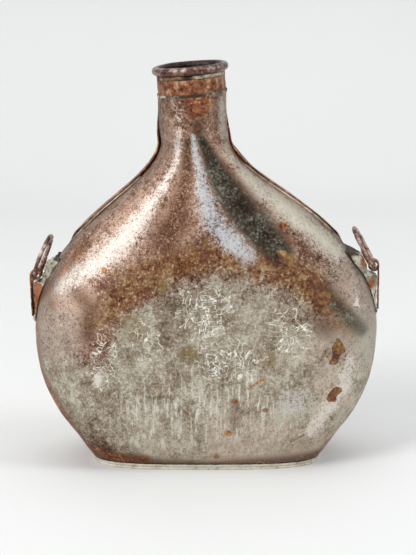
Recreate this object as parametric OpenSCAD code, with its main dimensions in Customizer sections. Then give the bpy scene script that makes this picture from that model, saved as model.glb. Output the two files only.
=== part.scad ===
// Pilgrim flask of tinned sheet copper: two raised shells, a flat base, a rolled mouth
// and two strap rings. The origin is the centre of the base on the surface it stands on.
// +Z is up and the front faces -Y. All sizes are in millimetres.

/* [Body] */
// Full width across the belly, the widest place
body_w = 171.6; // [160:0.2:184]
// Height of the widest place
belly_h = 68; // [60:1:74]
// Full width half way up the straight shoulders
shoulder_w = 104.4; // [96:0.2:112]
// Height of the middle of the straight shoulders
shoulder_h = 127; // [122:1:132]
// Slope of the straight shoulders above the horizontal
shoulder_slope = 40.3; // [36:0.1:45]
// Full width of the lower sides where they run straight
side_w = 139.5; // [132:0.5:146]
// Height of the straight stretch of the lower sides
side_h = 20; // [16:1:24]
// Slope of the lower sides above the horizontal
side_slope = 51.3; // [46:0.1:58]
// Full width of the foot of the shells
base_w = 110.4; // [104:0.2:118]
// Depth of the foot of the shells, front to back
base_depth = 42; // [36:0.5:48]
// Depth of the round bulge before its faces are flattened
bulge_depth = 68; // [62:0.5:76]
// Depth over the two flattened faces
face_depth = 60; // [54:0.5:61]
// Depth half way up the shoulders
shoulder_depth = 46; // [42:0.5:52]
// How far the middle of each flattened face is dished in
face_dish = 1.2; // [0:0.1:2]
// Height of the middle of the flattened faces
face_h = 50; // [44:1:56]
// Radius of the flattened faces
face_r = 62; // [54:1:68]
// Thickness of the copper sheet
sheet = 0.9; // [0.7:0.05:1.2]

/* [Neck] */
// Outer diameter of the neck
neck_d = 33.2; // [31:0.2:37]
// Height at which the flare ends and the straight neck begins
neck_foot_h = 164; // [160:1:168]
// Height of the top edge of the neck, on its axis
neck_top_h = 185.9; // [182:0.1:192]
// How far the neck stands off the middle of the body, towards -X
neck_shift = 6.8; // [0:0.1:10]
// Lean of the mouth towards -X
mouth_tilt = 4.8; // [0:0.1:6]

/* [Mouth] */
// Height of the collar band
collar_h = 7.6; // [6:0.1:8.6]
// Height of the middle of the rolled bead above the top edge of the neck
bead_h = 11.6; // [11:0.1:14]
// Thickness of the rolled bead
bead_d = 4.2; // [3.6:0.1:4.8]
// Thickness of the sleeve that carries the bead
sleeve_wall = 0.8; // [0.6:0.05:1]
// How far the sleeve reaches down inside the neck
spigot = 5; // [3:0.5:8]
// Diameter of the wire inside the bead
rim_wire_d = 2.4; // [2:0.05:2.4]

/* [Seams] */
// Gap between the edges of the shells where they meet edge to edge
seam_gap = 0.3; // [0.2:0.05:0.5]
// Reach of each shell past the seam where the back shell laps over the front one
lap_w = 2; // [1.5:0.1:2.6]
// Clear space under the lap
lap_gap = 0.5; // [0.3:0.05:1]
// Clear height between the strap loops' solder and the beginning of the lap
lap_clear = 1.6; // [0.5:0.1:4]
// How far below the top edge of the neck the lap has died away
lap_end_drop = 6.9; // [4:0.1:10]
// Height of the upper end of the left seam's solder above the middle of the shoulders
left_seam_run = 18; // [10:1:24]
// The same for the right seam's solder
right_seam_run = 24; // [10:1:28]
// Thickness of the base plate
plate_t = 1.4; // [1:0.1:2]
// How far the base plate stands out past the foot of the shells
plate_margin = 1.2; // [0.9:0.1:1.6]
// Height of the solder fillet on the base plate
base_fillet = 1.5; // [1:0.1:2]
// Thickness of the solder line beside the shoulder seams
seam_solder_t = 0.5; // [0.3:0.05:0.8]
// Clearance between pieces that are fitted into or onto each other
fit_gap = 0.1; // [0.05:0.01:0.2]

/* [Strap loops] */
// Width of the folded strap
strap_w = 6; // [5:0.2:7]
// Thickness of the folded strap
strap_t = 0.9; // [0.7:0.05:1.2]
// Length of the upper leaf of each strap
leaf_l = 9.5; // [8:0.1:11]
// Height of the eye of the left strap loop
left_eye_h = 95.2; // [92:0.2:97]
// How far the left eye stands out from the seam
left_eye_out = 6; // [5.6:0.1:7]
// Height of the foot of the left strap
left_foot_h = 74; // [72:0.5:78]
// Height of the eye of the right strap loop
right_eye_h = 100; // [97:0.2:101]
// How far the right eye stands out from the seam
right_eye_out = 7.3; // [6.8:0.1:8.2]
// Height of the foot of the right strap
right_foot_h = 78; // [76:0.5:82]
// Half the depth of the solder mass under the leaf
mass_reach = 8.4; // [7:0.1:9]
// Thickness of the solder under the foot of each strap
foot_solder_t = 0.4; // [0.3:0.05:0.8]

/* [Rings] */
// Outer diameter of the rings
ring_d = 23; // [22:0.2:25]
// Thickness of the ring wire
ring_wire_d = 2.2; // [1.8:0.1:2.4]
// Clearance round the ring wire in its eye, and under the ring at rest
ring_gap = 0.34; // [0.28:0.02:0.4]
// Lean of the left ring towards the body at rest
left_lean = 21.5; // [16:0.5:26]
// Lean of the right ring towards the body at rest
right_lean = 29.4; // [24:0.1:34]
// Turn of the left loop and ring about the vertical
left_turn = 6; // [-8:1:8]
// Turn of the right loop and ring about the vertical
right_turn = -5; // [-8:1:8]

/* [Hidden] */

copper = [0.66, 0.45, 0.33];
tinned = [0.62, 0.60, 0.56];
dark_copper = [0.45, 0.24, 0.16];
solder_grey = [0.74, 0.76, 0.70];
iron_grey = [0.50, 0.46, 0.42];

// Grid of the shells: steps round each half, and the distance used for slopes
half_steps = 24;
probe = 0.05;
// Softness of the edge of the flattened faces
face_edge = 6;
// Heights over which the lap swells out, and over which its edges then reach over
lap_swell = 5;
lap_turn = 3;
// Depth behind the lap over which the back shell returns to the common outline
lap_fade = 6;
// Change of half width and of half depth with height at the foot
foot_flare = 0.95;
foot_bulge = 0.75;
// Roundness of the plan: 2 is an ellipse, and a higher number is squarer
base_round = 3.5;
belly_round = 2.6;
shoulder_round = 2.3;
neck_round = 2;
// Heights between which the middle of the body moves over to the neck
shift_from_h = shoulder_h - 8;
shift_to_h = neck_foot_h + 14;

neck_r = neck_d / 2;
bead_r = bead_d / 2;
ring_wire_r = ring_wire_d / 2;
ring_r = ring_d / 2 - ring_wire_r;
lap_rise = sheet + lap_gap;
lap_to_h = neck_top_h - lap_end_drop;
// Top of each strap's leaf, and of the solder mass that rises a little above it
mass_over = 1;
left_leaf_top = left_eye_h + leaf_l * cos(left_lean);
right_leaf_top = right_eye_h + leaf_l * cos(right_lean);
lap_from_h = max(left_leaf_top, right_leaf_top) + mass_over + lap_clear;
// The sleeve leans inside the upright neck, so it is smaller by that lean
sleeve_r = neck_r - sheet - spigot * sin(mouth_tilt) - fit_gap;
bore_r = sleeve_r - sleeve_wall;
bead_ring_r = bore_r + bead_r;
// The eye clears the bent wire of the ring all round
half_strap = strap_w / 2;
wire_rise = ring_r - sqrt(ring_r * ring_r - half_strap * half_strap);
wire_slant = ring_r / (ring_r - wire_rise);
eye_r = wire_rise + ring_wire_r * wire_slant + ring_gap;
knee_r = eye_r + strap_t;
leaf_off = ring_wire_r + ring_gap;

// Stations of the upright outline: height, half width, change of half width per height
width_stations = [
    [0, base_w / 2, foot_flare],
    [side_h, side_w / 2, 1 / tan(side_slope)],
    [belly_h, body_w / 2, 0],
    [shoulder_h, shoulder_w / 2, -1 / tan(shoulder_slope)],
    [neck_foot_h, neck_r, 0],
    [neck_top_h, neck_r, 0]
];
// Stations of the side view, in the same form
depth_stations = [
    [0, base_depth / 2, foot_bulge],
    [belly_h, bulge_depth / 2, 0],
    [shoulder_h, shoulder_depth / 2, -0.22],
    [neck_foot_h, neck_r, 0],
    [neck_top_h, neck_r, 0]
];
round_stations = [
    [0, base_round, 0],
    [belly_h, belly_round, 0],
    [shoulder_h, shoulder_round, 0],
    [neck_foot_h, neck_round, 0],
    [neck_top_h, neck_round, 0]
];

function smooth(t) = let (c = min(max(t, 0), 1)) c * c * (3 - 2 * c);
function blend(a, b, t) = a + (b - a) * t;
function soft_min(a, b, k) =
    let (h = max(k - abs(a - b), 0) / k) min(a, b) - h * h * k / 4;

// Smooth curve through two stations, each with its own slope
function between(p, q, z) =
    let (h = q[0] - p[0], t = (z - p[0]) / h)
    (2 * t^3 - 3 * t^2 + 1) * p[1] + (t^3 - 2 * t^2 + t) * h * p[2]
    + (3 * t^2 - 2 * t^3) * q[1] + (t^3 - t^2) * h * q[2];
function along(stations, z, i = 0) =
    (i == len(stations) - 2 || z < stations[i + 1][0])
    ? between(stations[i], stations[i + 1], z)
    : along(stations, z, i + 1);

function half_width(z) = along(width_stations, z);
function half_depth(z) = along(depth_stations, z);
function middle_x(z) =
    -neck_shift * smooth((z - shift_from_h) / (shift_to_h - shift_from_h));
// The flattened face lies in this plane, a little dished
function face_plane(x, z) =
    let (r = norm([x, z - face_h]) / face_r)
    face_depth / 2 - face_dish * pow(max(1 - r * r, 0), 2);
// Share of the mouth's lean that the neck has taken up at height z
function lean_share(z) = smooth((z - neck_foot_h) / (neck_top_h - neck_foot_h));

// Point of the body's outer surface. a is 0 at the right seam, 90 in front, 180 at the
// left seam and 270 behind.
function skin(a, z) =
    let (
        n = along(round_stations, z),
        k = pow(pow(abs(cos(a)), n) + pow(abs(sin(a)), n), -1 / n),
        off = half_width(z) * cos(a) * k,
        x = middle_x(z) + off,
        bulge = half_depth(z) * abs(sin(a)) * k,
        y = soft_min(bulge, face_plane(x, z), face_edge)
    )
    [x, -sign(sin(a)) * max(y, 0), z + off * tan(mouth_tilt) * lean_share(z)];
function unit(v) = v / norm(v);
function outward(a, z) =
    unit(cross(skin(a, z + probe) - skin(a, z - probe),
               skin(a + probe, z) - skin(a - probe, z)));
function lifted(a, z, by) = skin(a, z) + by * outward(a, z);
// Angle at which the surface is y behind the seam, on the right or the left
function right_angle_at(y, z) = -asin(y / half_depth(z));
function left_angle_at(y, z) = 180 - right_angle_at(y, z);

// The lap swells out first, and only then do the edges reach over each other. Up the neck
// the edges part again at its foot, and the swelling dies away above that.
function lap_swollen(z) =
    smooth((z - lap_from_h) / lap_swell)
    * smooth((lap_to_h - z) / (lap_to_h - neck_foot_h));
function lap_turned(z) =
    smooth((z - lap_from_h - lap_swell) / lap_turn) * smooth((neck_foot_h - z) / lap_turn);
function front_edge_y(z) = blend(-seam_gap / 2, lap_w, lap_turned(z));
function back_edge_y(z) = blend(seam_gap / 2, -lap_w, lap_turned(z));
function lap_lift(y, z) =
    lap_rise * lap_swollen(z) * (1 - smooth((y - lap_w - seam_gap) / lap_fade));

function steps(from, to, count) = [for (i = [0 : count - 1]) from + (to - from) * i / count];
shell_heights = concat(
    steps(plate_t, side_h, 4),
    steps(side_h, belly_h, 7),
    steps(belly_h, lap_from_h, 5),
    steps(lap_from_h, lap_from_h + lap_swell, 2),
    steps(lap_from_h + lap_swell, lap_from_h + lap_swell + lap_turn, 2),
    steps(lap_from_h + lap_swell + lap_turn, shoulder_h, 2),
    steps(shoulder_h, neck_foot_h - lap_turn, 9),
    steps(neck_foot_h - lap_turn, neck_foot_h, 2),
    steps(neck_foot_h, lap_to_h, 5),
    steps(lap_to_h, neck_top_h, 1),
    [neck_top_h]
);

// A thick sheet between an outer and an inner grid of points with the same rows
module sheet_between(outer, inner) {
    rows = len(outer);
    cols = len(outer[0]);
    half = rows * cols;
    flat_points = concat([for (r = outer) each r], [for (r = inner) each r]);
    function at(r, c) = r * cols + c;
    faces = concat(
        [for (r = [0 : rows - 2], c = [0 : cols - 2]) each [
            [at(r, c), at(r + 1, c + 1), at(r + 1, c)],
            [at(r, c), at(r, c + 1), at(r + 1, c + 1)],
            [half + at(r, c), half + at(r + 1, c), half + at(r + 1, c + 1)],
            [half + at(r, c), half + at(r + 1, c + 1), half + at(r, c + 1)]]],
        [for (r = [0 : rows - 2], c = [0, cols - 1]) each
            side_faces(at(r, c), at(r + 1, c), half, c != 0)],
        [for (c = [0 : cols - 2], r = [0, rows - 1]) each
            side_faces(at(r, c), at(r, c + 1), half, r == 0)]
    );
    polyhedron(flat_points, faces);
}
function side_faces(p, q, half, turned) =
    turned
    ? [[p, half + p, half + q], [p, half + q, q]]
    : [[p, half + q, half + p], [p, q, half + q]];

// A closed ring of solid whose section has one corner for each loop of points
module ring_of_loops(loops) {
    count = len(loops[0]);
    total = len(loops);
    function at(l, i) = (l % total) * count + i % count;
    faces = [for (l = [0 : total - 1], i = [0 : count - 1]) each [
        [at(l, i), at(l, i + 1), at(l + 1, i + 1)],
        [at(l, i), at(l + 1, i + 1), at(l + 1, i)]]];
    polyhedron([for (l = loops) each l], faces);
}

module front_shell() {
    outer = [for (z = shell_heights)
        let (a0 = right_angle_at(front_edge_y(z), z), a1 = left_angle_at(front_edge_y(z), z))
        [for (i = [0 : half_steps]) skin(blend(a0, a1, i / half_steps), z)]];
    inner = [for (z = shell_heights)
        let (a0 = right_angle_at(front_edge_y(z), z), a1 = left_angle_at(front_edge_y(z), z))
        [for (i = [0 : half_steps]) inside(blend(a0, a1, i / half_steps), z, 0)]];
    color(copper) sheet_between(outer, inner);
}

// Point of the inner surface, kept level with the outer one at the two flat ends
function inside(a, z, lift) =
    let (
        p = skin(a, z),
        n = outward(a, z),
        end = z == plate_t || z == neck_top_h,
        m = end ? unit([n[0], n[1], 0]) : n,
        q = p + (lift - sheet) * m
    )
    [q[0], q[1], z == neck_top_h ? q[2] + (q[0] - p[0]) * tan(mouth_tilt) : q[2]];

module back_shell() {
    function angle(i, z) = blend(
        left_angle_at(back_edge_y(z), z), 360 + right_angle_at(back_edge_y(z), z),
        i / half_steps);
    function lift(i, z) = lap_lift(skin(angle(i, z), z)[1], z);
    outer = [for (z = shell_heights)
        [for (i = [0 : half_steps]) lifted(angle(i, z), z, lift(i, z))]];
    inner = [for (z = shell_heights)
        [for (i = [0 : half_steps]) inside(angle(i, z), z, lift(i, z))]];
    color(copper) sheet_between(outer, inner);
}

// Outline of the body at height z, moved outward by a margin
plan_steps = 72;
function plan(z, margin) = [for (i = [0 : plan_steps - 1])
    let (
        a = i * 360 / plan_steps + 180 / plan_steps,
        n = outward(a, z),
        p = skin(a, z) + margin * unit([n[0], n[1], 0])
    )
    [p[0], p[1]]];
function raised(points, z) = [for (p = points) [p[0], p[1], z]];

module base_plate() {
    color(tinned) linear_extrude(plate_t) polygon(plan(plate_t, plate_margin));
}

module base_solder() {
    top = plate_t + base_fillet;
    thin = 0.4;
    color(solder_grey) ring_of_loops([
        raised(plan(plate_t, fit_gap), plate_t),
        raised(plan(plate_t, plate_margin - fit_gap), plate_t),
        raised(plan(top, fit_gap + thin), top),
        raised(plan(top, fit_gap), top)
    ]);
}

// Solder run along the front shell beside the edge of the lap
module seam_solder(from, to, on_left) {
    rows = 14;
    width = 1.2;
    across = [0, 0.5, 1];
    function angle(t, z) =
        let (y = -lap_w - seam_gap - width * t)
        on_left ? left_angle_at(y, z) : right_angle_at(y, z);
    function height_at(i) = blend(from, to, i / rows);
    // Full in the middle and thin at both ends and edges
    function crown(t, i) =
        2 * fit_gap + seam_solder_t * (0.3 + 0.7 * sin(180 * i / rows)) * (t == 0.5 ? 1 : 0.6);
    order = on_left ? [2, 1, 0] : [0, 1, 2];
    color(solder_grey) sheet_between(
        [for (i = [0 : rows]) [for (c = order)
            lifted(angle(across[c], height_at(i)), height_at(i), crown(across[c], i))]],
        [for (i = [0 : rows]) [for (c = order)
            lifted(angle(across[c], height_at(i)), height_at(i), fit_gap)]]
    );
}

// The mouth's pieces share one frame: its origin is on the top edge of the neck
module at_mouth() {
    translate([middle_x(neck_top_h), 0, neck_top_h]) rotate([0, -mouth_tilt, 0]) children();
}
module tube(outer_r, inner_r, from, to) {
    translate([0, 0, from]) difference() {
        cylinder(r = outer_r, h = to - from, $fn = 96);
        translate([0, 0, -1]) cylinder(r = inner_r, h = to - from + 2, $fn = 96);
    }
}
module wire_ring(ring_radius, wire_radius) {
    rotate_extrude($fn = 96) translate([ring_radius, 0]) circle(r = wire_radius, $fn = 48);
}

module neck_collar() {
    color(dark_copper) at_mouth() tube(neck_r, sleeve_r + fit_gap / 2, 0, collar_h);
}

module lower_collar_solder() {
    half_line = 0.8;
    thick = 0.3;
    inner_r = neck_r + fit_gap + half_line * sin(mouth_tilt);
    color(solder_grey) at_mouth() tube(inner_r + thick, inner_r, -half_line, half_line);
}

module mouth_rim() {
    color(iron_grey) at_mouth() union() {
        tube(sleeve_r, bore_r, -spigot, bead_h);
        translate([0, 0, bead_h]) difference() {
            wire_ring(bead_ring_r, bead_r);
            wire_ring(bead_ring_r, rim_wire_d / 2 + fit_gap / 2);
        }
    }
}

module rim_wire() {
    color(iron_grey) at_mouth() translate([0, 0, bead_h]) wire_ring(bead_ring_r, rim_wire_d / 2);
}

module upper_collar_solder() {
    color(solder_grey) at_mouth() difference() {
        tube(neck_r + fit_gap, sleeve_r + fit_gap / 2, collar_h, bead_h - bead_r / 2);
        translate([0, 0, bead_h]) wire_ring(bead_ring_r, bead_r + fit_gap / 2);
    }
}

// The strap loops are drawn on the right, with +X outward, and mirrored to the left
module on_side(on_left, eye_h, eye_out, turn) {
    mirror([on_left ? 1 : 0, 0, 0])
        translate([half_width(eye_h) + eye_out, 0, eye_h])
            rotate([0, 0, turn]) children();
}

// Section of the strap about its eye: foot leg outside, eye, and leaf under the ring
module strap_section(lean, foot_drop, foot_in) {
    up = [-sin(lean), cos(lean)];
    down_in = [-cos(lean), -sin(lean)];
    rotate(60) difference() {
        circle(r = knee_r, $fn = 64);
        circle(r = eye_r, $fn = 64);
    }
    polygon([
        leaf_off * down_in + eye_r * up,
        leaf_off * down_in + leaf_l * up,
        (leaf_off + strap_t) * down_in + leaf_l * up,
        (leaf_off + strap_t) * down_in + eye_r * up
    ]);
    polygon([
        [eye_r + fit_gap, -eye_r / 2],
        [knee_r, -eye_r / 2],
        [foot_in + strap_t, -foot_drop],
        [foot_in, -foot_drop]
    ]);
}

// How far the strap's turn brings its edges in, with the clearance to its solder
function turn_seat(turn) = half_strap * abs(sin(turn)) + fit_gap;
// Distance of the inner face of the strap's foot outward from its eye
function foot_inset(eye_h, eye_out, foot_h, turn) =
    half_width(foot_h) + fit_gap + foot_solder_t + turn_seat(turn)
    - half_width(eye_h) - eye_out;

module strap_loop(on_left, eye_h, eye_out, foot_h, lean, turn) {
    color(dark_copper) on_side(on_left, eye_h, eye_out, turn)
        rotate([90, 0, 0]) translate([0, 0, -half_strap])
            linear_extrude(strap_w)
                strap_section(lean, eye_h - foot_h, foot_inset(eye_h, eye_out, foot_h, turn));
}

// Solder mass between the shell and the strap: broad under the leaf, narrow along the leg
module loop_solder(on_left, eye_h, eye_out, foot_h, lean, turn) {
    rows = 16;
    cols = 12;
    side = on_left ? -1 : 1;
    eye_x = half_width(eye_h) + eye_out;
    leaf_top = eye_h + leaf_l * cos(lean);
    below_foot = 2;
    taper = 4;
    low = foot_h - below_foot;
    high = leaf_top + mass_over;
    seat = turn_seat(turn);
    behind_leaf = (leaf_off + strap_t + seat) / cos(lean);
    foot_in = foot_inset(eye_h, eye_out, foot_h, turn);
    // Height on the leg at which the mass begins to turn in behind the eye
    turn_h = eye_h - 1.6 * knee_r;
    // How far the mass reaches in X, about the eye: up the leg, round the eye, up the leaf
    function reach_x(z) = eye_x + lookup(z, [
        [foot_h, foot_in - seat],
        [turn_h, blend(foot_in, eye_r, (turn_h - foot_h) / (eye_h - foot_h)) - seat],
        [eye_h - 1.1 * knee_r, -0.6 * knee_r - seat],
        [eye_h - 0.6 * knee_r, -knee_r - seat],
        [eye_h + knee_r / 2, -max(knee_r + seat, behind_leaf + knee_r / 2 * tan(lean))],
        [eye_h + 2 * knee_r, -behind_leaf - 2 * knee_r * tan(lean)],
        [leaf_top, -behind_leaf - (leaf_top - eye_h) * tan(lean)]
    ]);
    function half_reach(z) =
        blend(strap_w, mass_reach, smooth((z - eye_h + knee_r) / knee_r));
    function fullness(y, z) =
        smooth((z - low) / taper) * smooth((high - z) / taper)
        * smooth((half_reach(z) - abs(y)) / half_strap);
    function height_at(i) = blend(low, high, i / rows);
    function angle(j, z) =
        let (y = half_reach(z) * (2 * j / cols - 1))
        on_left ? left_angle_at(y, z) : right_angle_at(-y, z);
    function outer_point(j, z) =
        let (
            p = lifted(angle(j, z), z, fit_gap + foot_solder_t),
            bare = abs(p[0]),
            x = blend(bare, max(bare, reach_x(p[2])), fullness(p[1], z))
        )
        [side * x, p[1], p[2]];
    color(solder_grey) sheet_between(
        [for (i = [0 : rows]) [for (j = [0 : cols]) outer_point(j, height_at(i))]],
        [for (i = [0 : rows])
            [for (j = [0 : cols])
                lifted(angle(j, height_at(i)), height_at(i), fit_gap)]]
    );
}

module strap_ring(on_left, eye_h, eye_out, lean, turn) {
    color(iron_grey) on_side(on_left, eye_h, eye_out, turn)
        rotate([0, -lean, 0]) translate([0, 0, ring_r])
            rotate([0, 90, 0]) wire_ring(ring_r, ring_wire_r);
}

front_shell();
back_shell();
base_plate();
base_solder();
seam_solder(lap_from_h, shoulder_h + left_seam_run, true);  // left_seam_solder
seam_solder(lap_from_h, shoulder_h + right_seam_run, false);  // right_seam_solder
neck_collar();
lower_collar_solder();
mouth_rim();
rim_wire();
upper_collar_solder();
strap_loop(true, left_eye_h, left_eye_out, left_foot_h, left_lean, left_turn);  // left_strap_loop
loop_solder(true, left_eye_h, left_eye_out, left_foot_h, left_lean, left_turn);  // left_loop_solder
strap_ring(true, left_eye_h, left_eye_out, left_lean, left_turn);  // left_ring
strap_loop(false, right_eye_h, right_eye_out, right_foot_h, right_lean, right_turn);  // right_strap_loop
loop_solder(false, right_eye_h, right_eye_out, right_foot_h, right_lean, right_turn);  // right_loop_solder
strap_ring(false, right_eye_h, right_eye_out, right_lean, right_turn);  // right_ring
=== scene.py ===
import math

import bmesh
import bpy
import numpy as np
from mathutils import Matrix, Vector, noise as noise_of


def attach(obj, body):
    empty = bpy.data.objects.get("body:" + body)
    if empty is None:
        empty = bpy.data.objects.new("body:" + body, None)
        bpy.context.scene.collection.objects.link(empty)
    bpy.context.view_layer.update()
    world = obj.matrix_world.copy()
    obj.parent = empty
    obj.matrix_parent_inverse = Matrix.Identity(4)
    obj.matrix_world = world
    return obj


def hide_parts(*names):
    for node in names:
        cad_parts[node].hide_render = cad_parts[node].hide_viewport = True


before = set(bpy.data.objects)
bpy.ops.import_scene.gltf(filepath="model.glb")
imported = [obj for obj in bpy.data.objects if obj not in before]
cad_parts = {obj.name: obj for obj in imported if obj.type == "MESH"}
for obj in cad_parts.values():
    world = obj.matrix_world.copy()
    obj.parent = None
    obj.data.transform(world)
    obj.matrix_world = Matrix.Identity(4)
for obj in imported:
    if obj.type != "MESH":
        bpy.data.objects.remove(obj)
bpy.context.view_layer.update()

# The view: the camera stands in front of the flask, 0.7 m away, and looks 14 degrees down on
# it. Its angle and place were fitted to the outline in the photograph.
mm = 0.001
focal_px = 1400.0
frame_h_px = 555.0
camera_data = bpy.data.cameras.new("camera")
camera_data.sensor_fit = "VERTICAL"
camera_data.angle = 2 * math.atan(frame_h_px / 2 / focal_px)
camera = bpy.data.objects.new("camera", camera_data)
bpy.context.scene.collection.objects.link(camera)
pitch = math.radians(14.2)
camera_away = 0.7
look_at = Vector((0.9, 0, 93.4)) * mm
camera.location = look_at - camera_away * Vector((0, math.cos(pitch), -math.sin(pitch)))
camera.rotation_euler = (math.pi / 2 - pitch, 0, 0)
bpy.context.scene.camera = camera
bpy.context.scene.view_settings.view_transform = "Standard"


# The room: one sheet of pale paper that runs from the table up behind the flask, lit by a
# broad window on the left, a weaker one on the right and a soft light above.
def link_object(name, mesh):
    obj = bpy.data.objects.new(name, mesh)
    bpy.context.scene.collection.objects.link(obj)
    return obj


def grid_mesh(name, rows, closed_rows=False, closed_cols=False):
    """A mesh from rows of points; rows or columns may close on themselves."""
    rows = np.asarray(rows, float)
    count_r, count_c = rows.shape[:2]
    faces = []
    for r in range(count_r if closed_rows else count_r - 1):
        for c in range(count_c if closed_cols else count_c - 1):
            nr, nc = (r + 1) % count_r, (c + 1) % count_c
            faces.append((r * count_c + c, r * count_c + nc, nr * count_c + nc, nr * count_c + c))
    mesh = bpy.data.meshes.new(name)
    mesh.from_pydata(rows.reshape(-1, 3).tolist(), [], faces)
    mesh.update()
    return mesh


def shade_smooth(mesh):
    mesh.polygons.foreach_set("use_smooth", [True] * len(mesh.polygons))


def new_material(name):
    material = bpy.data.materials.new(name)
    material.use_nodes = True
    tree = material.node_tree
    return material, tree, tree.nodes["Principled BSDF"]


def add_node(tree, kind, **settings):
    node = tree.nodes.new(kind)
    for key, value in settings.items():
        setattr(node, key, value)
    return node


def noise(tree, scale, detail=4.0, rough=0.6, vector=None, distortion=0.0):
    node = add_node(tree, "ShaderNodeTexNoise")
    node.inputs["Scale"].default_value = scale
    node.inputs["Detail"].default_value = detail
    node.inputs["Roughness"].default_value = rough
    node.inputs["Distortion"].default_value = distortion
    tree.links.new(vector or position(tree), node.inputs["Vector"])
    return node.outputs["Fac"]


def position(tree):
    for node in tree.nodes:
        if node.type == "TEX_COORD":
            return node.outputs["Object"]
    return add_node(tree, "ShaderNodeTexCoord").outputs["Object"]


def ramp(tree, factor, stops):
    """Colour ramp: stops are (place, colour) pairs."""
    node = add_node(tree, "ShaderNodeValToRGB")
    band = node.color_ramp
    while len(band.elements) < len(stops):
        band.elements.new(0.5)
    for element, (place, colour) in zip(band.elements, stops):
        element.position = place
        element.color = (*colour, 1) if len(colour) == 3 else colour
    tree.links.new(factor, node.inputs["Fac"])
    return node.outputs["Color"]


def step(tree, value, low, high):
    """0 below low, 1 above high, smooth in between."""
    node = add_node(tree, "ShaderNodeMapRange", interpolation_type="SMOOTHSTEP")
    node.inputs["From Min"].default_value = low
    node.inputs["From Max"].default_value = high
    tree.links.new(value, node.inputs["Value"])
    return node.outputs["Result"]


def maths(tree, kind, a, b=None):
    node = add_node(tree, "ShaderNodeMath", operation=kind)
    for socket, value in zip(node.inputs, (a, b)):
        if value is None:
            continue
        if isinstance(value, (int, float)):
            socket.default_value = value
        else:
            tree.links.new(value, socket)
    return node.outputs["Value"]


def mix(tree, factor, a, b):
    node = add_node(tree, "ShaderNodeMix", data_type="RGBA")
    for socket, value in ((node.inputs[0], factor), (node.inputs[6], a), (node.inputs[7], b)):
        if isinstance(value, tuple):
            socket.default_value = (*value, 1)
        elif isinstance(value, (int, float)):
            socket.default_value = value
        else:
            tree.links.new(value, socket)
    return node.outputs[2]


def attribute(tree, name):
    return add_node(tree, "ShaderNodeAttribute", attribute_name=name).outputs["Fac"]


def bump(tree, shader, height, distance, strength=1.0, under=None):
    node = add_node(tree, "ShaderNodeBump")
    node.inputs["Strength"].default_value = strength
    node.inputs["Distance"].default_value = distance
    tree.links.new(height, node.inputs["Height"])
    if under:
        tree.links.new(under, node.inputs["Normal"])
    tree.links.new(node.outputs["Normal"], shader.inputs["Normal"])
    return node.outputs["Normal"]


# The paper's half width, its front and back edge, its height and the radius of its bend, in m
paper_w, paper_front, paper_back, paper_high = 3.0, -1.6, 0.9, 2.2
bend = 0.25
bend_steps = 16
profile = [(paper_front, 0), (paper_back - bend, 0)]
for i in range(1, bend_steps + 1):
    turn = i / bend_steps * math.pi / 2
    profile.append((paper_back - bend + bend * math.sin(turn), bend - bend * math.cos(turn)))
profile.append((paper_back, paper_high))
paper = link_object("paper", grid_mesh("paper", [
    [(-paper_w, y, z), (paper_w, y, z)] for y, z in profile]))
shade_smooth(paper.data)
paper_mat, tree, shader = new_material("pale_paper")
shade = ramp(tree, noise(tree, 6.0), [(0.3, (0.705, 0.705, 0.69)), (0.7, (0.72, 0.72, 0.705))])
tree.links.new(shade, shader.inputs["Base Color"])
shader.inputs["Roughness"].default_value = 0.75
shader.inputs["Specular IOR Level"].default_value = 0.2
paper.data.materials.append(paper_mat)


def area_light(name, place, towards, width, height, power, colour=(1, 1, 1)):
    data = bpy.data.lights.new(name, "AREA")
    data.shape = "RECTANGLE"
    data.size, data.size_y = width, height
    data.energy = power
    data.color = colour
    obj = bpy.data.objects.new(name, data)
    obj.location = place
    aim = Vector(towards) - Vector(place)
    obj.rotation_euler = aim.to_track_quat("-Z", "Y").to_euler()
    bpy.context.scene.collection.objects.link(obj)


area_light("window_left", (-0.9, -0.8, 1.0), (0, 0, 0.12), 0.5, 0.9, 14)
area_light("window_right", (1.1, -0.3, 0.9), (0, 0, 0.12), 0.35, 0.8, 7, (0.92, 0.96, 1.0))
area_light("ceiling", (0, 0.1, 1.7), (0, 0, 0), 1.8, 1.6, 12)
area_light("front_fill", (0.1, -1.5, 0.5), (0, 0, 0.1), 1.4, 0.7, 2.5)
world = bpy.context.scene.world or bpy.data.worlds.new("world")
bpy.context.scene.world = world
world.use_nodes = True
world.node_tree.nodes["Background"].inputs["Color"].default_value = (0.92, 0.95, 1.0, 1)
world.node_tree.nodes["Background"].inputs["Strength"].default_value = 0.42

# The two shells: sheet copper raised over a stake into a round bulge with a flattened,
# slightly dished face. Hammered, tinned, then worn back to brown copper. The back shell
# laps over the front one along the shoulders, where the seam is soldered.
body_w, belly_h = 171.6, 68.0
shoulder_w, shoulder_h, shoulder_slope = 104.4, 127.0, 40.3
side_w, side_h, side_slope = 139.5, 20.0, 51.3
base_w, base_depth = 110.4, 42.0
bulge_depth, face_depth, shoulder_depth = 68.0, 60.0, 46.0
face_dish, face_h, face_r, face_edge = 1.2, 50.0, 62.0, 6.0
sheet = 0.9
neck_r, neck_foot_h, neck_top_h, neck_shift = 16.6, 164.0, 185.9, 6.8
mouth_tilt = math.radians(4.8)
lap_w, lap_gap, seam_gap, plate_t = 2.0, 0.5, 0.3, 1.4
lap_from_h, lap_to_h, lap_swell, lap_turn, lap_fade = 111.0, 179.0, 5.0, 3.0, 6.0
lap_rise = sheet + lap_gap


def slope_of(degrees):
    return 1 / math.tan(math.radians(degrees))


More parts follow.
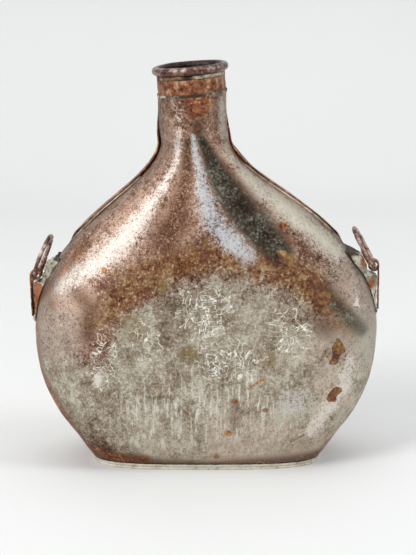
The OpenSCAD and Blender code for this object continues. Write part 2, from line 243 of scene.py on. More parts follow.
width_stations = [
    (0, base_w / 2, 0.95), (side_h, side_w / 2, slope_of(side_slope)), (belly_h, body_w / 2, 0),
    (shoulder_h, shoulder_w / 2, -slope_of(shoulder_slope)), (neck_foot_h, neck_r, 0),
    (neck_top_h, neck_r, 0)]
depth_stations = [
    (0, base_depth / 2, 0.75), (belly_h, bulge_depth / 2, 0),
    (shoulder_h, shoulder_depth / 2, -0.22), (neck_foot_h, neck_r, 0), (neck_top_h, neck_r, 0)]
round_stations = [
    (0, 3.5, 0), (belly_h, 2.6, 0), (shoulder_h, 2.3, 0), (neck_foot_h, 2, 0),
    (neck_top_h, 2, 0)]


def smooth(t):
    t = np.clip(t, 0, 1)
    return t * t * (3 - 2 * t)


def along(stations, z):
    z = np.asarray(z, float)
    out = np.full(z.shape, float(stations[-1][1]))
    for (z0, a, s0), (z1, b, s1) in reversed(list(zip(stations, stations[1:]))):
        h = z1 - z0
        t = (z - z0) / h
        curve = ((2 * t**3 - 3 * t**2 + 1) * a + (t**3 - 2 * t**2 + t) * h * s0
                 + (3 * t**2 - 2 * t**3) * b + (t**3 - t**2) * h * s1)
        out = np.where(z < z1, curve, out)
    return out


def skin(a, z):
    """Points of the body's outer surface in millimetres; a is 90 degrees in front."""
    n = along(round_stations, z)
    c, s = np.cos(a), np.sin(a)
    k = (np.abs(c)**n + np.abs(s)**n)**(-1 / n)
    off = along(width_stations, z) * c * k
    shift = -neck_shift * smooth((z - shoulder_h + 8) / (neck_foot_h + 14 - shoulder_h + 8))
    x = shift + off
    bulge = along(depth_stations, z) * np.abs(s) * k
    r = np.hypot(x, z - face_h) / face_r
    plane = face_depth / 2 - face_dish * np.maximum(1 - r * r, 0)**2
    h = np.maximum(face_edge - np.abs(bulge - plane), 0) / face_edge
    y = np.maximum(np.minimum(bulge, plane) - h * h * face_edge / 4, 0)
    lean = smooth((z - neck_foot_h) / (neck_top_h - neck_foot_h))
    return np.stack([x, -np.sign(s) * y, z + off * math.tan(mouth_tilt) * lean], -1)


def outward(a, z):
    d = 1e-3
    up = skin(a, z + 0.05) - skin(a, z - 0.05)
    across = skin(a + d, z) - skin(a - d, z)
    n = np.cross(up, across)
    return n / np.maximum(np.linalg.norm(n, axis=-1, keepdims=True), 1e-12)


def right_angle_at(y, z):
    return -np.arcsin(y / along(depth_stations, z))


def lap_swollen(z):
    return (smooth((z - lap_from_h) / lap_swell)
            * smooth((lap_to_h - z) / (lap_to_h - neck_foot_h)))


def lap_turned(z):
    return smooth((z - lap_from_h - lap_swell) / lap_turn) * smooth((neck_foot_h - z) / lap_turn)


def waves(points, size, count, seed):
    """A sum of smooth waves of about that size: gentle, seeded unevenness."""
    local = np.random.default_rng(seed)
    total = np.zeros(points.shape[:-1])
    for _ in range(count):
        direction = local.normal(size=3)
        direction /= np.linalg.norm(direction)
        total += np.sin(points @ direction * 2 * math.pi / (size * local.uniform(0.7, 1.5))
                        + local.uniform(0, 6.28))
    return total / math.sqrt(count)


def stroke(points, path):
    """1 along a path of (x, z, reach) in the X-Z plane, falling to 0 at that reach from it."""
    best = np.zeros(len(points))
    for (px, pz, p_reach), (qx, qz, q_reach) in zip(path, path[1:]):
        start, edge = np.array([px, pz]), np.array([qx - px, qz - pz])
        t = np.clip(((points - start) @ edge) / (edge @ edge), 0, 1)
        away = np.linalg.norm(points - start - t[:, None] * edge, axis=1)
        best = np.maximum(best, 1 - smooth(away / (p_reach + (q_reach - p_reach) * t)))
    return best


def stain(points, path, reach):
    """A stroke of one reach along (x, z) points."""
    return stroke(points, [(x, z, reach) for x, z in path])


# Streaks that run from the neck into the shoulders, as (x, z, reach): painted highlights on the
# ridges, painted brown and black shade and dark reflections in the hollows, the black one over a real
# dark patina. The ridges and hollows are in the mesh too.
left_ridge = [(-13, 167, 4), (-14, 155, 4), (-20, 143, 5), (-28, 132, 8), (-36, 121, 11),
              (-50, 107, 12), (-72, 94, 10)]
brown_shade_hollow = [(-8, 164, 5), (-9.5, 145, 7), (-13, 131, 11), (-19, 118, 15)]
middle_ridge = [(-6.5, 167, 2.5), (-3.5, 151, 5), (-1, 138, 8), (4, 127, 12), (10, 119, 12),
                (20, 110, 9)]
black_shade_hollow = [(-2, 165, 4), (4, 152, 10), (12, 139, 15), (22, 126, 17), (35, 112, 14)]
right_ridge = [(8.5, 184, 4), (9.5, 171, 7), (14, 157, 9), (23, 146, 12), (34, 136, 13),
               (47, 125, 13), (64, 110, 11)]
arch_hollow = [(-56, 70, 8), (-46, 86, 9), (-26, 99, 9), (4, 106, 9), (36, 98, 9), (62, 72, 9)]
relief = [(left_ridge, 0.6), (brown_shade_hollow, -0.6), (middle_ridge, 0.6), (black_shade_hollow, -0.9),
          (right_ridge, 0.5), (arch_hollow, -0.6)]


def shell_mesh(name, front):
    """One shell: outer and inner surface as rows up the body, closed into one solid sheet."""
    rows, columns = 210, 200
    plate_clear = 0.02
    heights = np.linspace(plate_t + plate_clear, neck_top_h, rows)
    z = heights[:, None]
    reach = lap_turned(z)
    if front:
        y_edge = -seam_gap / 2 + (lap_w + seam_gap / 2) * reach
        a0, a1 = right_angle_at(y_edge, z), math.pi - right_angle_at(y_edge, z)
    else:
        y_edge = seam_gap / 2 - (lap_w + seam_gap / 2) * reach
        a0 = math.pi - right_angle_at(y_edge, z)
        a1 = 2 * math.pi + right_angle_at(y_edge, z)
    t = np.linspace(0, 1, columns)[None, :]
    a = a0 + (a1 - a0) * t
    zz = np.broadcast_to(z, a.shape)
    points = skin(a, zz)
    normal = outward(a, zz)
    lift = np.zeros(a.shape)
    if not front:
        lift = lap_rise * lap_swollen(zz) * (1 - smooth(
            (points[..., 1] - lap_w - seam_gap) / lap_fade))
    # Shallow planishing marks and dents, faded out at the seams, the foot and the collar
    x = points[..., 0]
    big_dent, small_dent = 0.12, 0.05
    dents = big_dent * waves(points, 22, 9, 3 if front else 5) + small_dent * waves(points, 8, 9, 11)
    edge = smooth(np.minimum(t, 1 - t) / 0.06) * smooth((zz - 4) / 6) * smooth((182 - zz) / 6)
    flat = np.stack([x.ravel() if front else -x.ravel(), points[..., 2].ravel()], -1)
    folds = sum(high * stroke(flat, path).reshape(x.shape) for path, high in relief)
    dents = np.minimum(dents - 0.2, 0) * edge + folds * edge
    outer = points + normal * (lift + dents)[..., None]
    inner = points + normal * (lift + dents - sheet)[..., None]
    both = np.concatenate([outer, inner[:, ::-1]], axis=1) * mm
    mesh = grid_mesh(name, both, closed_cols=True)
    # Close the two open ends between the outer and inner surface
    count = both.shape[1]
    bm = bmesh.new()
    bm.from_mesh(mesh)
    bm.verts.ensure_lookup_table()
    half = count // 2
    for row in (0, len(heights) - 1):
        for c in range(half - 1):
            quad = [row * count + i for i in (c, c + 1, count - 2 - c, count - 1 - c)]
            bm.faces.new([bm.verts[i] for i in quad])
    bmesh.ops.recalc_face_normals(bm, faces=bm.faces)
    bm.to_mesh(mesh)
    bm.free()
    shade_smooth(mesh)
    return mesh


def polygon_distance(points, corners):
    """Signed distance in the X-Z plane, above 0 inside."""
    corners = np.asarray(corners, float)
    best = np.full(len(points), 1e9)
    inside = np.zeros(len(points), bool)
    for p, q in zip(corners, np.roll(corners, -1, axis=0)):
        edge = q - p
        t = np.clip(((points - p) @ edge) / (edge @ edge), 0, 1)
        best = np.minimum(best, np.linalg.norm(points - p - t[:, None] * edge, axis=1))
        crosses = (p[1] > points[:, 1]) != (q[1] > points[:, 1])
        with np.errstate(divide="ignore", invalid="ignore"):
            at = (q[0] - p[0]) * (points[:, 1] - p[1]) / (q[1] - p[1]) + p[0]
        inside ^= crosses & (points[:, 0] < at)
    return np.where(inside, best, -best)


def blob(points, x, z, rx, rz):
    """1 at (x, z), falling to 0 on an ellipse of half axes rx and rz."""
    return 1 - smooth(np.hypot((points[:, 0] - x) / rx, (points[:, 1] - z) / rz))


def set_attribute(mesh, name, values):
    layer = mesh.attributes.new(name, "FLOAT", "POINT")
    layer.data.foreach_set("value", np.asarray(values, np.float32))


# Flakes of old varnish on the front, as corners in X and Z
flakes = [
    [(33.4, 112.4), (38, 112.6), (42, 109.6), (46, 105.6), (44.5, 104.6), (39.5, 104.6), (36, 107.5)],
    [(50.2, 95), (50.7, 99.5), (52.4, 102.4), (54.5, 99.5), (56.7, 94.8), (53.7, 93)],
    [(51.4, 85.4), (51.6, 90.6), (54.4, 93.3), (58.6, 94.3), (60.6, 91), (60, 87.2), (55, 85.4)],
    [(64, 70), (67.2, 65.6), (68, 62), (65.4, 61), (63.8, 56), (59.8, 56.6), (61.6, 61), (61, 65)],
    [(58.4, 39.4), (61, 42.8), (63, 45), (66.4, 44.2), (66.8, 42), (64.4, 40.2), (63.4, 37.2),
     (60, 37.4)],
    [(-1, 120), (0.9, 119), (0.8, 106), (-1, 107)]]


def mark_shell(mesh, front):
    """Where the shell is tinned, golden, stained or rusty, and where highlights, reflections and
    shade are painted on it, as attributes from 0 to 1; places are in mm in the X-Z plane, mirrored on
    the back shell."""
    count = len(mesh.vertices)
    co = np.empty(count * 3)
    mesh.vertices.foreach_get("co", co)
    co = co.reshape(-1, 3) / mm
    flat = co[:, [0, 2]]
    side = co[:, 1]
    if not front:
        flat = flat * (-1, 1)
    face = smooth((np.abs(side) - 14) / 8)
    clear_of_seam = smooth((np.abs(side) - 3) / 6)
    at_seam = 1 - smooth((np.abs(side) - 2) / 5)
    # The tin of the flattened face, bounded above by the arch, reaches the flanks lower down
    arch = np.hypot((flat[:, 0] - 7) / 63, (flat[:, 1] - 38) / 64)
    tin = (1 - smooth((arch - 0.72) / 0.50)) * face
    lower_flanks = smooth((72 - flat[:, 1]) / 24) * smooth((flat[:, 1] - 9) / 12)
    set_attribute(mesh, "tin", np.maximum(tin, 0.85 * lower_flanks * clear_of_seam))
    # The golden-brown arch over the face, partly the copper's own colour and partly a painted dark
    # reflection where the face turns, and the grey bloom of tin outside it
    set_attribute(mesh, "gold_and_reflection", np.exp(-((arch - 1.12) / 0.15)**2) * face
                  * smooth((flat[:, 1] - 54) / 34))
    sides = smooth((np.abs(flat[:, 0]) - 48) / 26) * smooth((122 - flat[:, 1]) / 30)
    set_attribute(mesh, "bloom", np.clip(
        0.34 + 0.45 * sides - 0.3 * (1 - smooth((flat[:, 1] - 12) / 26)), 0, 1))
    # Combed scratches low on the face, and curls where the tin ran
    set_attribute(mesh, "comb", stain(flat, [(-24, 30), (5, 38), (30, 36)], 34))
    set_attribute(mesh, "curl", np.maximum.reduce([
        blob(flat, -50, 58, 12, 26) * 1.4, blob(flat, -2, 84, 26, 24), blob(flat, 40, 74, 22, 22),
        blob(flat, 10, 58, 34, 22) * 0.8, blob(flat, -26, 68, 22, 20) * 0.7]) * face)
    # Painted highlights and reflections, white, bluish and pale: on the ridges, and where the flanks
    # turn away
    painted_highlight = np.maximum.reduce([
        stroke(flat, left_ridge) * 0.95, stain(flat, [(-14, 186), (-13, 168)], 4) * 0.5,
        blob(flat, -53, 49, 4, 7) * 1.3, blob(flat, 0, 40, 22, 18) * 0.45,
        stain(flat, [(70, 56), (67, 44), (52, 22)], 9) * 1.0,
        stain(flat, [(-82, 72), (-80, 54), (-68, 34)], 9) * 0.4,
        polygon_distance(flat, [(71, 84), (74, 90), (75.5, 83)]) + 0.5,
        stain(flat, [(-48, 118), (-58, 108)], 5) * 0.6])
    set_attribute(mesh, "painted_highlight", painted_highlight * clear_of_seam)
    set_attribute(mesh, "painted_blue_highlight", np.maximum(
        stroke(flat, middle_ridge), blob(flat, 44, 38, 20, 15) * 0.7) * clear_of_seam)
    set_attribute(mesh, "pale", np.maximum.reduce([
        stroke(flat, right_ridge), blob(flat, 78, 62, 12, 30) * 0.9, blob(flat, -2, 44, 26, 16) * 0.5,
        stain(flat, [(40, 34), (66, 30)], 16) * 0.7]) * clear_of_seam)
    # Painted shade and dark reflections, brown and black: the hollows (the black one over a real dark
    # patina), the foot, a painted shadow line along the bottom edge and painted shade in the groove
    # under the lap
    set_attribute(mesh, "brown", np.maximum.reduce([
        stroke(flat, brown_shade_hollow), stain(flat, [(-66, 96), (-56, 84), (-58, 70)], 9) * 0.7,
        stain(flat, [(-55, 5), (0, 1), (55, 5)], 9) * 0.9, blob(flat, -16, 112, 22, 8) * 0.6,
        blob(flat, 58, 76, 16, 14) * 0.7, blob(flat, 0, 100, 60, 8) * 0.4]))
    # Painted black shade and dark reflection: the black hollow over a real dark patina, the neck, the
    # right flank, a shadow line along the bottom edge and the groove beside the seam under the lap
    set_attribute(mesh, "dark", np.maximum.reduce([
        stroke(flat, black_shade_hollow) * 1.1, blob(flat, -4, 170, 7, 10) * 0.85,
        stain(flat, [(58, 92), (76, 72)], 9) * 0.75, stain(flat, [(48, 84), (66, 62)], 7) * 0.4,
        stain(flat, [(4, 184), (5, 170)], 4) * 0.5, stain(flat, [(-56, 2), (56, 2)], 2.4) * 1.2,
        (1.0 if front else 0.0) * (1 - smooth((np.abs(side) - 1.2) / 3))
        * smooth((flat[:, 1] - 96) / 12)]))
    # Small stains: olive, ember (orange) and rust, as blobs (x, z, half width, half height)
    olive = [(-21, 95, 7, 6), (-35, 76, 12, 14), (-8, 62, 10, 9), (30, 60, 10, 8)]
    set_attribute(mesh, "olive", np.maximum.reduce([blob(flat, *spot) for spot in olive]))
    embers = [(41.4, 96.8, 1.9, 1.5), (23.8, 16.5, 1.2, 1.2), (-24.3, 45.4, 1.6, 1.6),
              (-40, 32.5, 1.6, 1.4), (-5, 53, 1.5, 1.5), (13, 65, 1.3, 1.3), (-16, 81, 1.2, 1.2),
              (-31.8, 90.8, 1.8, 1.6), (14, 38, 4, 3), (28.7, 33.5, 4, 3), (11, 21.6, 4, 3),
              (-44, 102, 2.2, 1.5), (-36, 105, 2, 1.6), (-28, 104, 2.4, 1.4), (-49, 103, 3, 3),
              (37, 124, 5, 3.5), (24, 100, 2, 3)]
    streaks = [([(19.5, 44), (28.5, 50)], 1.2), ([(42, 16.5), (48, 20)], 1.1)]
    set_attribute(mesh, "ember", np.maximum.reduce(
        [blob(flat, *spot) for spot in embers] + [stain(flat, *path) for path in streaks]))
    set_attribute(mesh, "rust", np.maximum.reduce([
        blob(flat, -4, 182, 12, 13) * 1.2, stain(flat, [(-55, 8), (-30, 6)], 7) * 0.9,
        stain(flat, [(-87, 78), (-85, 50), (-64, 14), (-58, 6)], 8) * 0.95,
        stain(flat, [(-60, 112), (-84, 84)], 6) * 0.7, blob(flat, 68, 96, 12, 14) * 0.5,
        blob(flat, 14, 30, 12, 10) * 0.5, blob(flat, -76, 84, 8, 8) * 0.6,
        stain(flat, [(-30, 106), (0, 110), (40, 106)], 7) * 0.45,
        (0.3 if front else 0.8) * at_seam * smooth((flat[:, 1] - 60) / 20)]))
    flake = np.full(count, -50.0)
    if front:
        for corners in flakes:
            flake = np.maximum(flake, polygon_distance(flat, corners))
        flake = np.where(side < -10, flake, -50.0)
    set_attribute(mesh, "flake", flake)


def worn_tin(name):
    """Tinned copper worn through: brown and orange copper, grey tin, scratches and spots, with
    painted highlights, reflections and shade.
    """
    material, tree, shader = new_material(name)
    fine = noise(tree, 1700.0, 2.0, 0.7)
    grain = noise(tree, 700.0, 4.0, 0.8)
    patch = noise(tree, 170.0, 6.0, 0.75)
    cloud = noise(tree, 48.0, 6.0, 0.72)
    broad = noise(tree, 15.0, 4.0, 0.6)

    def ragged(value, by_cloud, by_patch, by_grain, by_fine=0.0):
        """The value with its edges broken up by the noises."""
        for texture, share in ((cloud, by_cloud), (patch, by_patch), (grain, by_grain),
                               (fine, by_fine)):
            if share:
                push = maths(tree, "MULTIPLY", maths(tree, "SUBTRACT", texture, 0.5), share)
                value = maths(tree, "ADD", value, push)
        return value

    def lay(colour, factor, strength, over):
        return mix(tree, maths(tree, "MULTIPLY", factor, strength), colour, over)

    # Bare copper: dark brown to warm brown, with orange and rosy patches
    colour = ramp(tree, ragged(broad, 0.6, 0.7, 0.9, 0.5), [
        (0.22, (0.055, 0.024, 0.014)), (0.42, (0.190, 0.092, 0.055)),
        (0.56, (0.330, 0.190, 0.130)), (0.76, (0.560, 0.420, 0.330))])
    orange = step(tree, ragged(cloud, 0.0, 1.0, 0.7), 0.58, 0.74)
    colour = lay(colour, orange, 0.5, (0.42, 0.135, 0.040))
    # A grey bloom of tin is left nearly everywhere
    bloom = step(tree, ragged(attribute(tree, "bloom"), 1.1, 0.8, 0.8, 0.6), 0.18, 0.95)
    colour = lay(colour, bloom, 0.8, (0.54, 0.465, 0.385))
    # The golden-brown arch above the face: partly the copper's own colour, partly a painted dark
    # reflection where the face turns
    gold_and_reflection = step(tree, ragged(attribute(tree, "gold_and_reflection"), 0.9, 1.0, 0.8, 0.5), 0.28, 0.85)
    gold_colour = ramp(tree, ragged(patch, 0.4, 0.0, 0.9), [
        (0.32, (0.075, 0.016, 0.008)), (0.48, (0.225, 0.095, 0.034)),
        (0.60, (0.300, 0.195, 0.080)), (0.78, (0.62, 0.46, 0.15))])
    colour = lay(colour, gold_and_reflection, 0.78, gold_colour)
    # The tinned face: beige grey, olive and brown where it has gone thin
    tin_here = step(tree, ragged(attribute(tree, "tin"), 1.3, 0.9, 0.6, 0.3), 0.22, 0.80)
    tin_tone = maths(tree, "ADD", 0.27, maths(tree, "MULTIPLY", broad, 0.5))
    tin_colour = ramp(tree, ragged(tin_tone, 0.9, 0.8, 0.7, 0.4), [
        (0.22, (0.120, 0.078, 0.048)), (0.42, (0.310, 0.250, 0.180)),
        (0.58, (0.485, 0.440, 0.350)), (0.76, (0.780, 0.750, 0.650))])
    colour = lay(colour, tin_here, 0.94, tin_colour)
    rosy = step(tree, ragged(broad, 1.0, 0.6, 0.5), 0.50, 0.74)
    colour = lay(colour, rosy, 0.5, (0.44, 0.255, 0.175))
    verdigris = step(tree, ragged(cloud, 0.0, 0.9, 0.7), 0.56, 0.76)
    colour = lay(colour, maths(tree, "MULTIPLY", verdigris, tin_here), 0.6, (0.53, 0.58, 0.50))
    olive = step(tree, ragged(attribute(tree, "olive"), 0.7, 0.6, 0.5), 0.25, 0.85)
    colour = lay(colour, olive, 0.6, (0.235, 0.165, 0.055))
    # Scratches that run up and down the lower face
    streak = add_node(tree, "ShaderNodeMapping")
    streak.inputs["Scale"].default_value = (1.0, 1.0, 0.14)
    tree.links.new(position(tree), streak.inputs["Vector"])
    scratches = noise(tree, 520.0, 4.0, 0.7, vector=streak.outputs["Vector"])
    comb = attribute(tree, "comb")
    colour = lay(colour, maths(tree, "MULTIPLY", step(
        tree, scratches, 0.54, 0.61), comb), 0.8, (0.80, 0.78, 0.70))
    colour = lay(colour, maths(tree, "MULTIPLY", step(
        tree, scratches, 0.46, 0.36), comb), 0.4, (0.22, 0.16, 0.11))
    # White curls where the tin ran
    curl_total = None
    for scale, warp, width in ((34.0, 3.6, 0.011), (62.0, 2.2, 0.013)):
        curls = noise(tree, scale, 2.0, 0.5, distortion=warp)
        line = maths(tree, "ABSOLUTE", maths(tree, "SUBTRACT", curls, 0.5))
        line = maths(tree, "SUBTRACT", 1.0, step(tree, line, width * 0.3, width))
        curl_total = line if curl_total is None else maths(tree, "MAXIMUM", curl_total, line)
    curl_here = step(tree, ragged(attribute(tree, "curl"), 1.8, 0.9, 0.3), 0.26, 0.56)
    scribble = maths(tree, "MULTIPLY", curl_total, curl_here)
    colour = lay(colour, scribble, 1.0, (0.86, 0.84, 0.75))
    # Pits and specks at the grain of the skin
    off_tin = maths(tree, "SUBTRACT", 1.0, maths(tree, "MULTIPLY", tin_here, 0.6))
    pits = maths(tree, "MULTIPLY", step(tree, grain, 0.44, 0.33), off_tin)
    colour = lay(colour, pits, 0.8, (0.040, 0.021, 0.014))
    colour = lay(colour, step(tree, grain, 0.58, 0.68), 0.6, (0.80, 0.74, 0.65))
    fine_pits = maths(tree, "MULTIPLY", step(tree, fine, 0.45, 0.33), off_tin)
    colour = lay(colour, fine_pits, 0.6, (0.080, 0.046, 0.030))
    # Painted shade and dark reflections in the hollows, brown and black (the black over a real dark
    # patina), and painted highlights and reflections on the ridges beside them
    brown = step(tree, ragged(attribute(tree, "brown"), 0.8, 1.0, 1.3, 0.8), 0.22, 0.95)
    brown_colour = ramp(tree, ragged(fine, 0.3, 0.6, 1.0), [
        (0.35, (0.030, 0.012, 0.008)), (0.52, (0.110, 0.045, 0.023)), (0.72, (0.34, 0.20, 0.12))])
    colour = lay(colour, brown, 0.85, brown_colour)
    # Painted pale reflection on the right ridge and the lower flanks
    pale = step(tree, ragged(attribute(tree, "pale"), 0.7, 1.0, 1.3, 1.2), 0.24, 1.05)
    colour = lay(colour, pale, 0.85, (0.52, 0.485, 0.395))
    # Painted shade and dark reflection, with a greenish grain of real patina
    dark = step(tree, ragged(attribute(tree, "dark"), 0.6, 0.9, 1.3, 0.8), 0.30, 0.95)
    dark_colour = ramp(tree, ragged(grain, 0.6, 0.4, 0.0), [
        (0.38, (0.006, 0.006, 0.004)), (0.54, (0.045, 0.042, 0.029)), (0.70, (0.19, 0.20, 0.16))])
    colour = lay(colour, dark, 0.92, dark_colour)
    # Painted highlights
    painted_highlight = step(tree, ragged(attribute(tree, "painted_highlight"), 0.7, 1.2, 1.8, 1.6), 0.34, 1.15)
    colour = lay(colour, painted_highlight, 0.85, (0.78, 0.71, 0.64))
    # Painted bluish reflection
    painted_blue_highlight = step(tree, ragged(attribute(tree, "painted_blue_highlight"), 0.6, 1.1, 1.8, 1.6), 0.38, 1.15)
    colour = lay(colour, painted_blue_highlight, 0.8, (0.61, 0.645, 0.665))
    rust = step(tree, ragged(attribute(tree, "rust"), 0.8, 1.1, 1.2, 0.5), 0.35, 0.85)
    rust_colour = ramp(tree, ragged(patch, 0.3, 0.0, 1.2), [
        (0.34, (0.055, 0.012, 0.008)), (0.52, (0.235, 0.050, 0.016)), (0.64, (0.42, 0.15, 0.04)),
        (0.78, (0.70, 0.47, 0.16))])
    colour = lay(colour, rust, 0.75, rust_colour)
    ember = step(tree, ragged(attribute(tree, "ember"), 0.8, 1.2, 1.2), 0.38, 0.72)
    ember_colour = ramp(tree, ragged(grain, 0.5, 0.8, 0.4), [
        (0.36, (0.110, 0.016, 0.006)), (0.50, (0.31, 0.090, 0.018)), (0.66, (0.52, 0.27, 0.06))])
    colour = lay(colour, ember, 0.85, ember_colour)
    spots = step(tree, noise(tree, 105.0, 2.0, 0.5), 0.70, 0.76)
    colour = lay(colour, spots, 0.7, (0.26, 0.10, 0.022))
    # Flakes of amber varnish, thick enough to stand up
    flake_edge = maths(tree, "ADD", attribute(tree, "flake"), maths(tree, "MULTIPLY", maths(
        tree, "SUBTRACT", noise(tree, 420.0, 3.0), 0.5), 1.3))
    flake_here = step(tree, flake_edge, -0.12, 0.12)
    flake_core = step(tree, flake_edge, 0.1, 2.6)
    flake_tone = maths(tree, "ADD", 0.36, maths(tree, "MULTIPLY", flake_core, 0.12))
    flake_colour = ramp(tree, ragged(flake_tone, 2.0, 1.6, 1.2, 0.5), [
        (0.12, (0.060, 0.012, 0.005)), (0.34, (0.160, 0.046, 0.010)),
        (0.52, (0.225, 0.125, 0.024)), (0.80, (0.42, 0.31, 0.11))])
    colour = mix(tree, flake_here, colour, flake_colour)
    tree.links.new(colour, shader.inputs["Base Color"])
    metal = maths(tree, "SUBTRACT", 0.93, maths(tree, "MULTIPLY", flake_here, 0.8))
    metal = maths(tree, "SUBTRACT", metal, maths(tree, "MULTIPLY", scribble, 0.5))
    tree.links.new(metal, shader.inputs["Metallic"])
    rough = maths(tree, "ADD", 0.26, maths(tree, "MULTIPLY", grain, 0.22))
    rough = maths(tree, "ADD", rough, maths(tree, "MULTIPLY", tin_here, 0.12))
    tree.links.new(rough, shader.inputs["Roughness"])
    under = bump(tree, shader, fine, 0.00010, 1.0)
    under = bump(tree, shader, grain, 0.00035, 1.0, under)
    under = bump(tree, shader, patch, 0.0007, 0.8, under)
    under = bump(tree, shader, scribble, 0.00015, 0.6, under)
    bump(tree, shader, flake_here, 0.0003, 0.8, under)
    return material


shell_mat = worn_tin("worn_tinned_copper")
for piece, node, is_front in (
        ("front_shell_dressed", "front_shell", True), ("back_shell_dressed", "back_shell", False)):
    mesh = shell_mesh(piece, is_front)
    mark_shell(mesh, is_front)
    obj = link_object(piece, mesh)
    mesh.materials.append(shell_mat)
    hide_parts(node)
    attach(obj, "body")


# The base plate and its solder: a flat copper plate under the feet of both shells, and the
# pale fillet of solder run round between them. Both are thickly tinned and rubbed pale.
def worn_copy(node, name, voxel, depth, size, seed):
    """The node's solid again, its edges softened and its skin pushed in unevenly (mm)."""
    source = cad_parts[node]
    mesh = source.data.copy()
    mesh.transform(source.matrix_world)
    obj = link_object(name, mesh)
    remesh = obj.modifiers.new("even", "REMESH")
    remesh.mode = "VOXEL"
    remesh.voxel_size = voxel * mm
    depsgraph = bpy.context.evaluated_depsgraph_get()
    obj.data = bpy.data.meshes.new_from_object(obj.evaluated_get(depsgraph))
    obj.modifiers.clear()
    obj.data.name = name
    vertices = obj.data.vertices
    co, normals = np.empty(len(vertices) * 3), np.empty(len(vertices) * 3)
    vertices.foreach_get("co", co)
    vertices.foreach_get("normal", normals)
    co, normals = co.reshape(-1, 3), normals.reshape(-1, 3)
    push = np.array([noise_of.fractal(Vector(at), 0.9, 2.1, 4) - 0.35
                     for at in co / (size * mm) + (seed, 2 * seed, 0)])
    co += normals * np.minimum(push, 0)[:, None] * depth * mm
    vertices.foreach_set("co", co.ravel())
    obj.data.update()
    shade_smooth(obj.data)
    return obj


def aged_metal(name, stops, metallic, rough, scale=260.0, depth=0.0003, share=0.5, marks=()):
    """share is how much of the colour follows the broad cloud, not the grain; each mark is
    an attribute, and the colour that the metal has where it is 1."""
    material, tree, shader = new_material(name)
    grain = noise(tree, scale, 6.0, 0.8)
    cloud = noise(tree, scale * 0.25, 5.0, 0.65)
    mixed = maths(tree, "ADD", maths(tree, "MULTIPLY", grain, 1 - share), maths(
        tree, "MULTIPLY", cloud, share))
    colour = ramp(tree, mixed, stops)
    for mark, mark_colour in marks:
        here = maths(tree, "ADD", attribute(tree, mark), maths(
            tree, "SUBTRACT", maths(tree, "MULTIPLY", mixed, 3.2), 1.6))
        colour = mix(tree, maths(tree, "MULTIPLY", step(tree, here, 0.3, 0.7), 0.9), colour,
                     mark_colour)
    tree.links.new(colour, shader.inputs["Base Color"])
    shader.inputs["Metallic"].default_value = metallic
    tree.links.new(maths(tree, "ADD", rough - 0.12, maths(tree, "MULTIPLY", grain, 0.3)),
                   shader.inputs["Roughness"])
    under = bump(tree, shader, noise(tree, scale * 4, 3.0), depth * 0.4, 0.9)
    bump(tree, shader, grain, depth, 0.9, under)
    return material


def dress(seed, node, material, voxel, depth, size, body):
    """A worn copy in the place of the node's solid, riding on that body."""
    obj = worn_copy(node, node + "_worn", voxel, depth, size, seed)
    obj.data.materials.clear()
    obj.data.materials.append(material)
    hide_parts(node)
    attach(obj, body)
    return obj


def points_of(obj):
    return np.array([vertex.co for vertex in obj.data.vertices]) / mm


pale_mat = aged_metal("pale_base_solder", [
    (0.34, (0.24, 0.16, 0.095)), (0.44, (0.58, 0.52, 0.41)), (0.58, (0.74, 0.70, 0.60))],
    0.3, 0.5, depth=0.0004)
dress(0, "base_plate", pale_mat, 0.5, 0.10, 6, "body")
dress(1, "base_solder", pale_mat, 0.25, 0.12, 3, "body")

# The neck collar: a band of copper bent round the top of the neck, soldered along both
# edges: a dark, lumpy line below, and a pale crust between it and the bead above.
collar_mat = aged_metal("collar_copper", [
    (0.38, (0.030, 0.014, 0.010)), (0.46, (0.185, 0.062, 0.028)), (0.54, (0.350, 0.150, 0.075)),
    (0.64, (0.55, 0.42, 0.29))], 0.75, 0.42, scale=420.0)
line_mat = aged_metal("dark_solder_line", [
    (0.36, (0.020, 0.010, 0.008)), (0.50, (0.075, 0.038, 0.024)), (0.57, (0.26, 0.23, 0.17)),
    (0.62, (0.66, 0.66, 0.54))], 0.4, 0.55, depth=0.0007, share=0.75)
collar_crust_mat = aged_metal("collar_crust", [
    (0.40, (0.030, 0.014, 0.010)), (0.47, (0.22, 0.10, 0.05)), (0.52, (0.42, 0.36, 0.26)),
    (0.60, (0.66, 0.67, 0.56))], 0.4, 0.5, depth=0.0007, share=0.75)
dress(2, "neck_collar", collar_mat, 0.35, 0.16, 5, "body")
dress(3, "lower_collar_solder", line_mat, 0.22, 0.35, 2.5, "body")
dress(4, "upper_collar_solder", collar_crust_mat, 0.22, 0.35, 2.5, "body")

# The mouth: a copper sleeve in the neck, its top rolled outward over a wire into a bead.
# The bead is burnished brown; inside, the sleeve is darkened with painted shade. The wire keeps its
# plain solid.
rim_mat = aged_metal("rim_copper", [
    (0.38, (0.035, 0.012, 0.012)), (0.47, (0.150, 0.075, 0.058)), (0.55, (0.36, 0.26, 0.22)),
    (0.66, (0.66, 0.60, 0.52))], 0.92, 0.28, scale=420.0,
    marks=[("inside", (0.018, 0.014, 0.012))])
mouth_rim = dress(5, "mouth_rim", rim_mat, 0.35, 0.22, 7, "body")
mouth_at = np.array([-7.08, 0, 189.2])
mouth_axis = np.array([-math.sin(mouth_tilt), 0, math.cos(mouth_tilt)])
from_mouth = points_of(mouth_rim) - mouth_at
off_axis = np.linalg.norm(from_mouth - (from_mouth @ mouth_axis)[:, None] * mouth_axis, axis=1)
# Painted shade inside the mouth, out to this distance from its axis
inner_shade_r = 16.2
set_attribute(mouth_rim.data, "inside", smooth((inner_shade_r - off_axis) / 1.0))
rim_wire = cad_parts["rim_wire"].data
rim_wire.materials.clear()
rim_wire.materials.append(rim_mat)

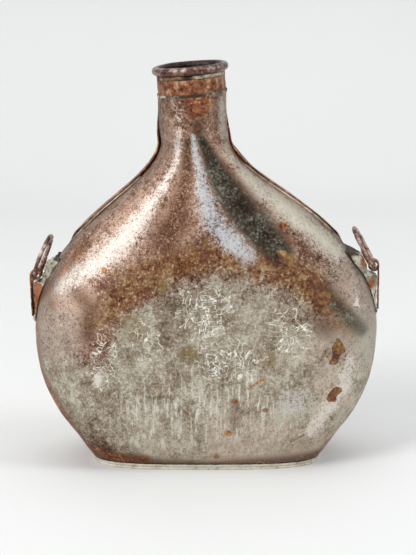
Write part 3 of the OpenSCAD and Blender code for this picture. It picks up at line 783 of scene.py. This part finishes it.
# The strap loops: strips of copper 6 mm wide, each bent into an eye for its ring, its legs
# soldered to the side of the flask.
strap_mat = aged_metal("strap_copper", [
    (0.38, (0.022, 0.008, 0.008)), (0.47, (0.105, 0.036, 0.018)), (0.55, (0.36, 0.14, 0.045)),
    (0.64, (0.52, 0.36, 0.22))], 0.65, 0.42, scale=420.0)
dress(6, "left_strap_loop", strap_mat, 0.22, 0.16, 3, "body")
dress(7, "right_strap_loop", strap_mat, 0.22, 0.16, 3, "body")

# The solder that holds the strap loops: pale, lumpy masses run behind the strips and over
# the shell, with amber flux on them and a dark lip on top.
crust_mat = aged_metal("crusted_solder", [
    (0.34, (0.045, 0.026, 0.014)), (0.41, (0.24, 0.19, 0.125)), (0.50, (0.56, 0.52, 0.41)),
    (0.58, (0.74, 0.71, 0.60)), (0.66, (0.38, 0.15, 0.05))], 0.25, 0.6, scale=420.0,
    depth=0.0009, marks=[("amber", (0.40, 0.125, 0.030)), ("lip", (0.060, 0.026, 0.016))])
left_crust = dress(8, "left_loop_solder", crust_mat, 0.35, 1.3, 3.4, "body")
right_crust = dress(9, "right_loop_solder", crust_mat, 0.35, 1.3, 3.4, "body")
left_lip_h, right_lip_h = 102.5, 105
co = points_of(left_crust)
out, high = np.abs(co[:, 0]), co[:, 2]
leg_side = smooth((out - 80.5 - 0.12 * (91 - high)) / 2) * smooth((92 - high) / 2)
set_attribute(left_crust.data, "amber", leg_side * smooth((high - 76) / 4))
set_attribute(left_crust.data, "lip", smooth((high - left_lip_h) / 2))
co = points_of(right_crust)
leaf_side = blob(co[:, [0, 2]], 79, 103, 5, 6) + blob(co[:, [0, 2]], 82.5, 92, 4, 5)
set_attribute(right_crust.data, "amber", leaf_side)
set_attribute(right_crust.data, "lip", smooth((co[:, 2] - right_lip_h) / 2))

# The rings: copper wire 2.2 mm thick bent into closed rings, loose in the eyes of the strap
# loops, so each swings on its own body.
wire_mat = aged_metal("ring_wire", [
    (0.38, (0.045, 0.012, 0.010)), (0.45, (0.17, 0.085, 0.065)), (0.53, (0.44, 0.31, 0.26)),
    (0.64, (0.66, 0.58, 0.52))], 0.85, 0.36, scale=420.0, share=0.65)
dress(10, "left_ring", wire_mat, 0.22, 0.22, 4, "left_ring")
dress(11, "right_ring", wire_mat, 0.22, 0.22, 4, "right_ring")

# The seam solder: a thin grey line run beside the lap on each shoulder. It keeps its plain
# solid.
solder_mat = aged_metal("grey_solder", [
    (0.36, (0.07, 0.05, 0.03)), (0.46, (0.36, 0.33, 0.25)), (0.58, (0.70, 0.66, 0.54))],
    0.6, 0.45, depth=0.0006)
for node in ("left_seam_solder", "right_seam_solder"):
    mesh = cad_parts[node].data
    mesh.materials.clear()
    mesh.materials.append(solder_mat)
